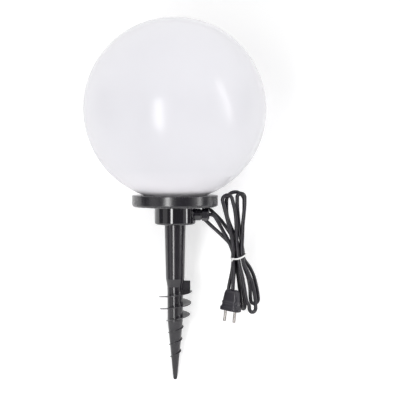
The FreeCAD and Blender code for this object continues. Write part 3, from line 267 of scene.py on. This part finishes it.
# The hank's stations in millimetres, in order from the gland to the plug: the strands where they pass
# the tie, in three layers from back to front, and the loops above and below it.
HANK = [
    strand(91.9, 2.8, 225, (2.5, 0, -6.8)),
    strand(94.3, 2.8, 218.5, (2.5, 0, -6.8)),
    strand(98.2, CENTRE, TIE_LEVEL, DOWN),
    loop((91.7, 6.2, 131.5), (-3.7, 5.2, 0), DOWN),
    strand(96.0, BACK, TIE_LEVEL, UP),
    strand(84.4, 12, 235, (-0.72, 0.08, 0.7)),
    loop((54.3, 15.6, 275.5), (6.35, 0.3, 6.62), (-0.72, 0, 0.69)),
    strand(102.6, BACK, TIE_LEVEL, DOWN),
    loop((112.6, 6.4, 126.0), (2.9, -5.8, 0), (0.1, 0, -1)),
    strand(105.2, CENTRE, TIE_LEVEL, UP),
    loop((99.7, 6.6, 299.4), (14.7, 1.4, 0), UP),
    strand(110.8, BACK, TIE_LEVEL + 10, (0.1, 0, -1)),
    strand(113.6, BACK, TIE_LEVEL - 2, (0.5, 0, -1)),
    strand(125.8, 11.4, 184.8, (0.5, 0, -1)),
    loop((131.9, 7.6, 135.0), (-6.4, -2.6, -1), (-0.12, 0, -1)),
    strand(123.4, 4.4, 161.0, (-0.18, 0, 1)),
    strand(112.5, CENTRE, TIE_LEVEL, UP),
    strand(106.6, 0.8, 250.0, (-0.11, -0.02, 1)),
    loop((108.7, -1.6, 305.4), (6.1, -2.4, 0), UP),
    strand(111.4, -4.6, 252.0, (-0.03, 0, -1)),
    strand(111.2, FRONT, TIE_LEVEL, (0.12, 0, -1)),
    strand(122.6, -4.8, 176.0, (0.42, 0, -1)),
    loop((127.9, -6.0, 122.2), (-5.4, -3.4, 0), (0.1, 0, -1)),
    strand(117.8, -8.4, 136.0, (-0.2, 0.04, 1)),
    strand(112.8, -6.0, 165.0, (-0.17, 0.05, 1)),
    strand(104.4, FRONT, TIE_LEVEL, (-0.12, 0, 1)),
    loop((86.2, -6.0, 301.4), (-7.8, -0.4, -2.0), (-0.25, 0, 0.97)),
    strand(96.0, FRONT, TIE_LEVEL, DOWN),
    strand(96.0, FRONT, TIE_LEVEL - 9, DOWN),
]

hank = []
for part in HANK:
    if hank:
        hank += between(*last, *part[0])
    hank.append(part[0][0])
    if len(part) > 1:
        hank += [*part[1], part[2][0]]
    last = part[-1]

data = bpy.data.curves.new("mains_lead", "CURVE")
data.dimensions = "3D"
data.bevel_depth = CORD_DIAMETER / 2
data.bevel_resolution = 5
data.resolution_u = 6
data.use_fill_caps = True
line = data.splines.new("NURBS")
route = np.array([GLAND_MOUTH, *LEAD_ROUTE, *hank, *TAIL_ROUTE]) * MM
line.points.add(len(route) - 1)
line.points.foreach_set("co", np.column_stack([route, np.ones(len(route))]).ravel())
line.order_u = 3
line.use_endpoint_u = True
lead = bpy.data.objects.new("mains_lead", data)
bpy.context.scene.collection.objects.link(lead)
lead_rubber = moulded_plastic("extruded_rubber", ("#110d18", "#17131f"), gloss=(0.27, 0.36),
                              skin_size=0.0011, skin_depth=0.00003, coat=0.25, ior=1.52)
data.materials.append(lead_rubber)
dress(lead_rubber, "cord_inner_end")

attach(lead, "head")
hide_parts("cord_lead", "cord_hank", "cord_tail")


# Hank tie: a flat white plastic strip with a wire in it, wrapped once round the nine strands and
# twisted shut at the front left. It sags a little at the front and rises to the right at the back.
# Extruded plastic is even and matt, with fine marks along it.

TIE_WIDTH, TIE_THICKNESS = 2.7, 0.9
TIE_LOW, TIE_HIGH = np.array((92.7, -7.6)), np.array((116.5, 13.2))
TIE_CORNER = 3.4
TIE_CLEARANCE = 0.1
CORNER_SPREAD = 6
SAG_LEVEL, SAG, SAG_PLACE = 203.9, 0.023, 99
BACK_LEVEL, BACK_RISE = 205, 0.235
FRONT_TO_BACK = 1.5
TWIST_START = np.array((96.2, -8.7, 205.4))
TWIST_WAY = (-0.5, -0.22, -0.72)
TWIST_LENGTH, TWIST_TURNS, TWIST_RADIUS = 5.6, 1.5, 0.75
TWIST_WIDTH, TWIST_THICKNESS = 1.9, 1.1
TWIST_SIDE = (0, 1, 0.2)
DRAWING_MARKS, DRAWING_DEPTH = 700, 0.00004
STAINS = 180


def grid_faces(rows, columns, closed_rows=False):
    """The quads of a grid of points whose columns go round and close, and whose rows may close too:
    each is (r, c), (r, c + 1), (r + 1, c + 1), (r + 1, c)."""
    row = np.arange(rows if closed_rows else rows - 1)[:, None]
    column = np.arange(columns)[None, :]
    after_row, after_column = (row + 1) % rows, (column + 1) % columns
    quads = [row * columns + column, row * columns + after_column,
             after_row * columns + after_column, after_row * columns + column]
    quads = [np.broadcast_to(quad, (len(row), columns)) for quad in quads]
    return np.stack(quads, axis=-1).reshape(-1, 4)


def smooth_object(name, points, faces, material):
    """An object with a smooth mesh of points in metres, joined by faces, in one material."""
    mesh = bpy.data.meshes.new(name)
    mesh.from_pydata(points.tolist(), [], faces)
    mesh.polygons.foreach_set("use_smooth", np.ones(len(mesh.polygons), bool))
    mesh.materials.append(material)
    mesh.update()
    made = bpy.data.objects.new(name, mesh)
    bpy.context.scene.collection.objects.link(made)
    return made


def carried(path, outward, width, painted_neck_light_ramp, sides=16):
    """A flat strip with round edges carried along a path. At each place p the ring is
    p + up width/2 c(a) + out thickness/2 s(a), where c and s are the square roots of the size of the
    cosine and sine, with their signs, and up = along x out."""
    along = np.gradient(path, axis=0)
    along /= np.linalg.norm(along, axis=1)[:, None]
    out = outward - along * np.sum(outward * along, axis=1)[:, None]
    out /= np.linalg.norm(out, axis=1)[:, None]
    up = np.cross(along, out)
    angle = np.linspace(0, 2 * math.pi, sides, endpoint=False)
    flat = np.sign(np.cos(angle)) * np.abs(np.cos(angle)) ** 0.5 * width / 2
    thick = np.sign(np.sin(angle)) * np.abs(np.sin(angle)) ** 0.5 * painted_neck_light_ramp / 2
    return path[:, None] + up[:, None] * flat[None, :, None] + out[:, None] * thick[None, :, None]


def tie_round(count=96):
    """The strip's closed line round the strands: seen from above, a rectangle with round corners. Its
    height is level + sag (x - place)^2 at the front and level + rise (x - left side) at the back, and
    goes from one to the other by 1 / (1 + exp(-y / d)) over the depth."""
    centre, half = (TIE_LOW + TIE_HIGH) / 2, (TIE_HIGH - TIE_LOW) / 2
    angle = np.linspace(0, 2 * math.pi, count, endpoint=False)
    circle = np.column_stack([np.cos(angle), np.sin(angle)])
    corner = np.sign(circle) * (half - TIE_CORNER) * np.clip(np.abs(circle) * CORNER_SPREAD, 0, 1)
    place = centre + corner + circle * (TIE_CORNER + TIE_THICKNESS / 2 + TIE_CLEARANCE)
    x, y = place.T
    back = 1 / (1 + np.exp(-(y - centre[1]) / FRONT_TO_BACK))
    front_height = SAG_LEVEL + SAG * (x - SAG_PLACE) ** 2
    back_height = BACK_LEVEL + BACK_RISE * (x - TIE_LOW[0])
    z = front_height * (1 - back) + back_height * back
    return np.column_stack([x, y, z]), np.column_stack([circle, np.zeros(count)])


def twisted(start, way, length, turns, radius, phase, count=40):
    """One end of the twist: p(t) = start + way length t + radius (side cos a + up sin a), where
    a = phase + 2 pi turns t, and side and up are square to the way."""
    way = unit(way)
    side = unit(np.cross(way, TWIST_SIDE))
    up = np.cross(way, side)
    t = np.linspace(0, 1, count)[:, None]
    angle = phase + 2 * math.pi * turns * t
    spoke = side * np.cos(angle) + up * np.sin(angle)
    return start + way * length * t + radius * spoke, spoke


tie_path, tie_out = tie_round()
closed_path = np.vstack([tie_path[-1:], tie_path, tie_path[:1]])
closed_out = np.vstack([tie_out[-1:], tie_out, tie_out[:1]])
ring = carried(closed_path, closed_out, TIE_WIDTH, TIE_THICKNESS)[1:-1]
tie_points = ring.reshape(-1, 3)
tie_faces = grid_faces(len(ring), ring.shape[1], True).tolist()
for phase in (0, math.pi):
    end_path, end_out = twisted(TWIST_START, TWIST_WAY, TWIST_LENGTH, TWIST_TURNS, TWIST_RADIUS, phase)
    tail = carried(end_path, end_out, TWIST_WIDTH, TWIST_THICKNESS)
    rows, columns = tail.shape[:2]
    first = len(tie_points)
    tie_points = np.vstack([tie_points, tail.reshape(-1, 3), end_path[:1], end_path[-1:]])
    tie_faces += (grid_faces(rows, columns) + first).tolist()
    turn = np.arange(columns)
    after = (turn + 1) % columns
    for row, pole, order in ((0, rows * columns, 1), (rows - 1, rows * columns + 1, -1)):
        cap = np.column_stack([turn + row * columns, np.full(columns, pole), after + row * columns])
        tie_faces += (cap[:, ::order] + first).tolist()

tie_plastic, place = start_material("extruded_white_plastic")
strip = add(tie_plastic, "TexNoise", {"Scale": DRAWING_MARKS, "Detail": 2}, Vector=place)
bump = add(tie_plastic, "Bump", {"Strength": 1, "Distance": DRAWING_DEPTH}, Height=strip.outputs[0])
stain = add(tie_plastic, "TexNoise", {"Scale": STAINS, "Detail": 2}, Vector=place)
tint = add(tie_plastic, "ValToRGB", Fac=stain.outputs[0])
for stop, code in zip(tint.color_ramp.elements, ("#E2E2E2", "#F0F0EF")):
    stop.color = linear(code)
shader = add(tie_plastic, "BsdfPrincipled", {"Roughness": 0.45, "IOR": 1.52},
             Base_Color=tint.outputs[0], Normal=bump.outputs[0])
tie = smooth_object("twist_tie", tie_points * MM, tie_faces, finish_material(tie_plastic, shader))
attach(tie, "head")
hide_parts("hank_tie")


# Plug: a two-pin plug of soft black rubber, moulded on the lead's end. Its grip widens to a rounded
# ridge, a skirt and a flange that rests on the socket. Moulded rubber is satin, a little greyer than
# the lead.

PLUG_TOP = np.array((94.6, -16.4, 154.6))
PLUG_TILT, PLUG_TURN = math.radians(6), math.radians(-37)
GROOVE_PLACE, GROOVE_WIDTH, GROOVE_DEPTH = 13.0, 1.3, 1.1
GROOVE_TOP, GROOVE_RUN_IN = -18, 2
# Each ring's level from the lead's end, half width, half depth and squareness, down to the face.
PLUG_RINGS = np.array([
    (0.0, 3.0, 3.0, 2), (0.0, 7.6, 4.2, 2.6), (-0.4, 9.6, 5.6, 3), (-1.6, 11.2, 6.7, 3.2),
    (-4.0, 12.3, 7.4, 3.4), (-8.0, 13.2, 7.8, 3.4), (-13.0, 13.9, 8.0, 3.4), (-17.5, 14.4, 8.1, 3.4),
    (-19.0, 14.6, 8.2, 3.4), (-19.8, 15.3, 8.7, 3.4), (-20.8, 15.9, 9.0, 3.4), (-22.2, 16.0, 9.05, 3.4),
    (-23.0, 15.6, 8.8, 3.4), (-23.6, 15.1, 8.4, 3.4), (-25.0, 15.3, 8.4, 3.4), (-27.6, 16.2, 8.6, 3.4),
    (-28.5, 16.8, 8.7, 3.6), (-28.9, 17.8, 9.0, 3.8), (-29.4, 18.2, 9.2, 3.8), (-31.5, 18.3, 9.25, 3.8),
    (-34.2, 18.2, 9.2, 3.8), (-34.8, 17.9, 8.9, 3.8), (-35.0, 17.3, 8.3, 3.8), (-35.0, 13.0, 5.0, 3),
])


def plug_surface(sides=72):
    """Rings at the given levels, each a rounded rectangle |x / w|^n + |y / d|^n = 1, turned about the
    plug's own axis and then tilted. A groove with the depth exp(-(x / width)^2) runs down the skirt
    beside the right pin."""
    level, width, depth, square = PLUG_RINGS[:, :, None].transpose(1, 0, 2)
    angle = np.linspace(0, 2 * math.pi, sides, endpoint=False)[None, :]
    cosine, sine = np.cos(angle), np.sin(angle)
    stretch = (np.abs(cosine) ** square + np.abs(sine) ** square) ** (-1 / square)
    x, y = width * cosine * stretch, depth * sine * stretch
    across = np.exp(-((x - GROOVE_PLACE) / GROOVE_WIDTH) ** 2) * (y < 0)
    y = y + GROOVE_DEPTH * (across * np.clip((GROOVE_TOP - level) / GROOVE_RUN_IN, 0, 1))
    upright = np.stack([x, y, np.broadcast_to(level, x.shape)], axis=-1)
    turn = np.array([[math.cos(PLUG_TURN), -math.sin(PLUG_TURN), 0],
                     [math.sin(PLUG_TURN), math.cos(PLUG_TURN), 0], [0, 0, 1]])
    tilt = np.array([[math.cos(PLUG_TILT), 0, math.sin(PLUG_TILT)], [0, 1, 0],
                     [-math.sin(PLUG_TILT), 0, math.cos(PLUG_TILT)]])
    return upright @ (tilt @ turn).T + PLUG_TOP, tilt @ turn


rings, plug_turned = plug_surface()
rows, columns = rings.shape[:2]
poles = np.array([PLUG_TOP, PLUG_TOP + plug_turned @ (0, 0, PLUG_RINGS[-1, 0])])
top_pole, face_pole = rows * columns, rows * columns + 1
last_ring = (rows - 1) * columns
turn = np.arange(columns)
after = (turn + 1) % columns
top_cap = np.column_stack([turn, after, np.full(columns, top_pole)])
face_cap = np.column_stack([after + last_ring, turn + last_ring, np.full(columns, face_pole)])
plug_faces = grid_faces(rows, columns)[:, ::-1].tolist() + top_cap.tolist() + face_cap.tolist()
plug_rubber = moulded_plastic("moulded_plug_rubber", ("#17131f", "#201c28"), gloss=(0.3, 0.38),
                              skin_size=0.0009, skin_depth=0.00003, coat=0.3, ior=1.52)
plug = smooth_object("moulded_plug", np.vstack([rings.reshape(-1, 3), poles]) * MM, plug_faces,
                     plug_rubber)
smoother = plug.modifiers.new("smoother", "SUBSURF")
smoother.levels = smoother.render_levels = 1
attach(plug, "head")
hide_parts("plug_body")


# Pins: turned brass, nickel plated, with fine marks left round them by the lathe. The plating is
# bright, with a grey that comes from handling. They are the last pieces on the lead.

TARNISH_PATCHES = 220
MARKS_SQUEEZED = (0.1, 0.1, 1)


def turned_metal(name, colour, gloss, mark_size, mark_depth):
    """Metal with fine marks: a noise squeezed flat along the height, as lathe marks are, that sets
    both the bump and the roughness. Sizes are in metres."""
    material, place = start_material(name)
    squeezed = add(material, "Mapping", {"Scale": MARKS_SQUEEZED}, Vector=place)
    marks = add(material, "TexNoise", {"Scale": 1 / mark_size, "Detail": 2}, Vector=squeezed.outputs[0])
    bump = add(material, "Bump", {"Strength": 1, "Distance": mark_depth}, Height=marks.outputs[0])
    rough = add(material, "MapRange", {"To Min": gloss[0], "To Max": gloss[1]}, Value=marks.outputs[0])
    tarnish = add(material, "TexNoise", {"Scale": TARNISH_PATCHES, "Detail": 2}, Vector=place)
    tint = add(material, "ValToRGB", Fac=tarnish.outputs[0])
    for stop, code in zip(tint.color_ramp.elements, colour):
        stop.color = linear(code)
    shader = add(material, "BsdfPrincipled", {"Metallic": 1.0}, Base_Color=tint.outputs[0],
                 Roughness=rough.outputs[0], Normal=bump.outputs[0])
    return finish_material(material, shader)


dress(turned_metal("nickel_plated_brass", ("#A9A5A2", "#B5B1AE"), gloss=(0.18, 0.3),
                   mark_size=0.0012, mark_depth=0.00001), "plug_pins")


# Lampholder and wiring: a white heat-proof moulding with a pressed brass screw shell and contact, two
# insulated cores from the lead, and zinc-plated screws.

dress(moulded_plastic("moulded_holder_plastic", ("#D2CFC7", "#DAD7CF"), gloss=(0.3, 0.4),
                      skin_size=0.001, skin_depth=0.00002), "lampholder_body")
dress(turned_metal("pressed_brass", ("#C79E4B", "#D9B563"), gloss=(0.25, 0.38), mark_size=0.0012,
                   mark_depth=0.00001), "lampholder_thread", "lampholder_contact")
dress(turned_metal("zinc_plated_steel", ("#A9ABAD", "#BDBFC1"), gloss=(0.28, 0.42), mark_size=0.0009,
                   mark_depth=0.00001),
      "base_screws", "lampholder_screws", "clamp_screws", "terminal_screws")
for core, colour in (("core_brown", ("#4A2A16", "#573320")), ("core_blue", ("#1F4A86", "#275696"))):
    name = core.removeprefix("core_") + "_core_plastic"
    dress(moulded_plastic(name, colour, gloss=(0.35, 0.45), skin_size=0.001, skin_depth=0.00001), core)


# Bulb: a frosted diffuser and a white body over a lacquered board with its chips, in a pressed
# aluminium cap with a black glazed insulator round its contact.

dress(moulded_plastic("frosted_bulb_plastic", ("#E9E9E6", "#EFEFEC"), gloss=(0.42, 0.52),
                      skin_size=0.0008, skin_depth=0.00002), "bulb_body", "bulb_diffuser")
dress(turned_metal("pressed_aluminium", ("#C4C5C7", "#D2D3D5"), gloss=(0.3, 0.45), mark_size=0.001,
                   mark_depth=0.00001), "bulb_cap", "bulb_contact")
dress(moulded_plastic("glazed_insulator", ("#0d0d0e", "#131314"), gloss=(0.08, 0.14), skin_size=0.002,
                      skin_depth=0.00001), "bulb_insulator")
dress(moulded_plastic("lacquered_board", ("#E0E1DF", "#E8E9E7"), gloss=(0.3, 0.4), skin_size=0.001,
                      skin_depth=0.00001), "led_board")
dress(moulded_plastic("phosphor_chips", ("#E3C046", "#EBCB55"), gloss=(0.4, 0.5), skin_size=0.0006,
                      skin_depth=0.00001), "leds")


# Studio: the light lies against a white board that leans back from the spike's tip to behind the
# globe, on a white floor. Four lights stand round it, in a surround that is darker near the level.

LEAN = math.radians(19.6)
BOARD_FOOT = 0.006
BOARD_BEND = 0.03
BOARD_REACH = 1.1
BOARD_DROP = 0.0015
FLOOR_REACH = 0.55
STAGE_WIDTH = 1.6
GLOW_LOW, GLOW_HIGH = 0.35, 0.1
GLOW_FADES_FROM, GLOW_FADES_TO = 0.25, 0.5
SURROUND_DARK, SURROUND_BRIGHT = 0.17, 1.11
DARK_BELOW, BRIGHT_ABOVE = 0.2, 0.45
LIGHT_TARGET = (0, 0, 0.4)
STRIP_ROLL = 17
WHITE = (1, 1, 1, 1)


def stage_surface(bend_steps=7):
    """A sheet whose side view runs along the floor from -reach to the board's foot, round a small
    bend, and up the leaning board. Its direction turns evenly from 0 to 90 - lean degrees along the
    bend, and y and z are the sums of step cos a and step sin a."""
    along = np.concatenate([[-FLOOR_REACH], np.linspace(-BOARD_BEND, 0.0, bend_steps), [BOARD_REACH]])
    turn = np.clip((along + BOARD_BEND) / BOARD_BEND, 0, 1) * (math.pi / 2 - LEAN)
    middle = (turn[1:] + turn[:-1]) / 2
    steps = np.diff(along)
    y = np.concatenate([[0], np.cumsum(steps * np.cos(middle))])
    z = np.concatenate([[0], np.cumsum(steps * np.sin(middle))])
    y = y - y[-2] + BOARD_FOOT
    x = np.array([-STAGE_WIDTH / 2, STAGE_WIDTH / 2])
    sheet = [np.broadcast_to(side, (len(y), 2)) for side in (x[None], y[:, None], z[:, None] - BOARD_DROP)]
    return np.stack(sheet, axis=-1).reshape(-1, 3)


board_points = stage_surface()
row = np.arange(len(board_points) // 2 - 1)[:, None] * 2
board_faces = np.hstack([row, row + 1, row + 3, row + 2]).tolist()

# White paint. The camera sees it a little brighter than it is, less so behind the globe, so that the
# globe's shadow shows, and it is clear from behind, for the views from there.
board_paint, place = start_material("white_board_paint")
paint = add(board_paint, "BsdfDiffuse", {"Color": linear("#F4F4F4")})
seen_at = add(board_paint, "NewGeometry")
level = add(board_paint, "SeparateXYZ", Vector=seen_at.outputs["Position"]).outputs["Z"]
strength = add(board_paint, "MapRange", {"From Min": GLOW_FADES_FROM, "From Max": GLOW_FADES_TO,
                                         "To Min": GLOW_LOW, "To Max": GLOW_HIGH}, Value=level)
glow = add(board_paint, "Emission", {"Color": WHITE}, Strength=strength.outputs[0])
glowing = add(board_paint, "AddShader", shaders=(paint, glow))
seen = add(board_paint, "LightPath").outputs["Is Camera Ray"]
lit = add(board_paint, "MixShader", shaders=(paint, glowing), Fac=seen)
nothing = add(board_paint, "BsdfTransparent")
sided = add(board_paint, "MixShader", shaders=(lit, nothing), Fac=seen_at.outputs["Backfacing"])
board = smooth_object("white_board", board_points, board_faces, finish_material(board_paint, sided))

world = bpy.data.worlds.new("surround")
bpy.context.scene.world = world
world.use_nodes = True
world.node_tree.nodes.clear()
room = add(world, "TexCoord").outputs["Generated"]
height = add(world, "SeparateXYZ", Vector=room).outputs["Z"]
steep = add(world, "Math", {"operation": "ABSOLUTE"}, Value=height)
dim = add(world, "MapRange", {"From Min": DARK_BELOW, "From Max": BRIGHT_ABOVE, "To Min": SURROUND_DARK,
                              "To Max": SURROUND_BRIGHT}, Value=steep.outputs[0])
around = add(world, "Background", {"Color": WHITE}, Strength=dim.outputs[0])
white = add(world, "Background", {"Color": WHITE, "Strength": 1})
seen = add(world, "LightPath").outputs["Is Camera Ray"]
surround = add(world, "MixShader", shaders=(around, white), Fac=seen)
add(world, "OutputWorld", Surface=surround.outputs[0])


def light_box(name, centre, target, width, height, power, roll=0):
    """A rectangle of light that faces its target, rolled round its own axis by an angle in degrees."""
    data = bpy.data.lights.new(name, "AREA")
    data.shape = "RECTANGLE"
    data.size = width
    data.size_y = height
    data.energy = power
    lamp = bpy.data.objects.new(name, data)
    bpy.context.scene.collection.objects.link(lamp)
    way = np.array(target) - np.array(centre)
    lamp.location = centre
    aim = mathutils.Euler((math.atan2(math.hypot(way[0], way[1]), -way[2]), 0,
                           math.atan2(way[1], way[0]) - math.pi / 2)).to_matrix()
    lamp.rotation_euler = (aim @ mathutils.Matrix.Rotation(math.radians(roll), 3, "Z")).to_euler()


# A tall box and a broad panel at the left, a broad box and a narrow rolled strip at the right.
light_box("left_box", (-0.55, -1.74, 0.2), LIGHT_TARGET, width=0.34, height=1.1, power=10.5)
light_box("left_panel", (-1.5, -1.0, 0.4), LIGHT_TARGET, width=0.9, height=1.3, power=1.8)
light_box("right_box", (1.65, -0.88, 0.55), LIGHT_TARGET, width=1.0, height=1.3, power=2)
light_box("right_strip", (1.56, -0.76, 0.68), LIGHT_TARGET, width=0.22, height=1.3, power=5.8,
          roll=STRIP_ROLL)
bpy.context.scene.view_settings.view_transform = "Standard"
